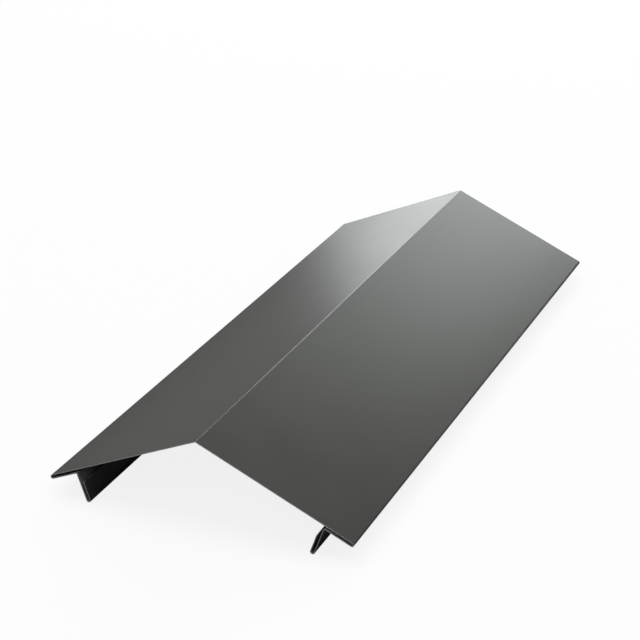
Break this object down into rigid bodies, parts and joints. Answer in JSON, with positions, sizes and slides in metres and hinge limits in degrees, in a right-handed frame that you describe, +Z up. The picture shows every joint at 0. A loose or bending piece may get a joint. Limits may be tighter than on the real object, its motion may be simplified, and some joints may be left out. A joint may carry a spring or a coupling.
{
  "type": "roof ridge cap",
  "caption": "Long roof ridge cap of folded, dark grey coated sheet: sloping wings meet at a sharp ridge, with doubled outer edges, returns under them and hemmed legs it stands on.",
  "frame": {"origin": "under the ridge, midway along the cap, on the level surface that its two hemmed feet stand on", "axes": "+X across the ridge, +Y along the ridge, +Z up"},
  "size_m": [0.2734, 0.625, 0.0786],
  "materials": {
    "coated_sheet": "satin dark grey coil coating on steel sheet, with bare metal at the cut edges"
  },
  "bodies": {
    "root": {"ridge_cap": "coated_sheet"}
  },
  "joints": []
}
